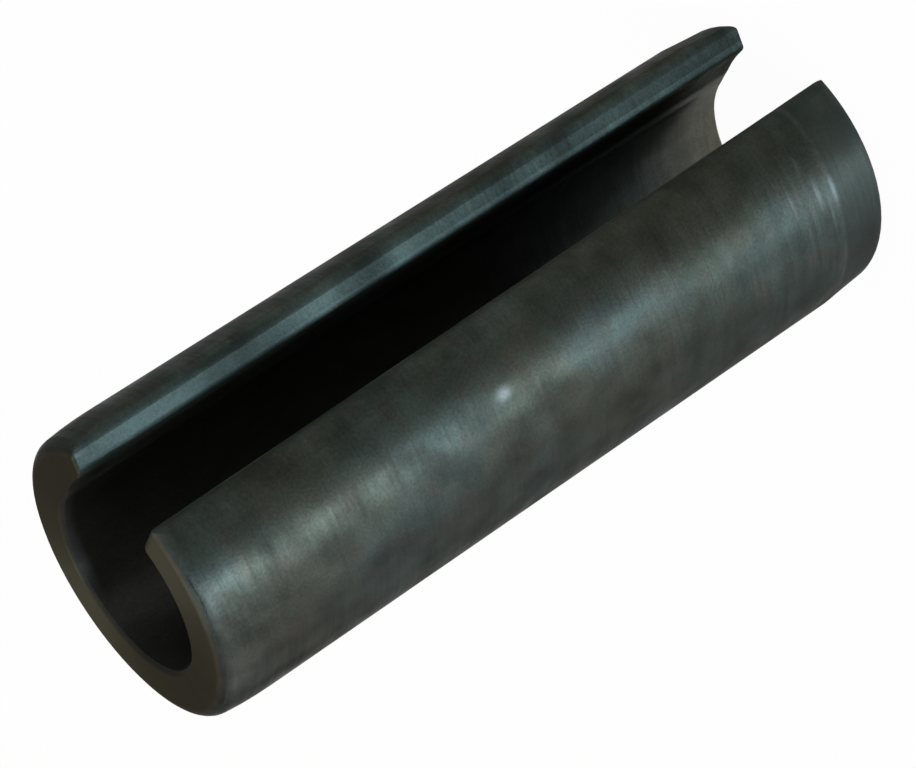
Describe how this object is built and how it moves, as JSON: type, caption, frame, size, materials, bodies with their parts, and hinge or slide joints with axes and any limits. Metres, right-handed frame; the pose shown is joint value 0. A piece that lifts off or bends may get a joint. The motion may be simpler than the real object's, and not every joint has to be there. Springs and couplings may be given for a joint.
{
  "type": "slotted spring pin",
  "caption": "Open steel tube with a full-length slot and tapered ends, driven into a drilled hole where its spring grips the wall.",
  "frame": {"origin": "on the tube's axis, in the plane of the lower end face", "axes": "+Z along the axis towards the upper end, -Y from the axis through the middle of the slot, +X to the right when facing the slot"},
  "size_m": [0.0086, 0.0082, 0.024],
  "materials": {
    "blackened_spring_steel": "black oxide over rolled spring steel, lightly oiled, rubbed along the outside"
  },
  "bodies": {
    "root": {"spring_pin": "blackened_spring_steel"}
  },
  "joints": []
}
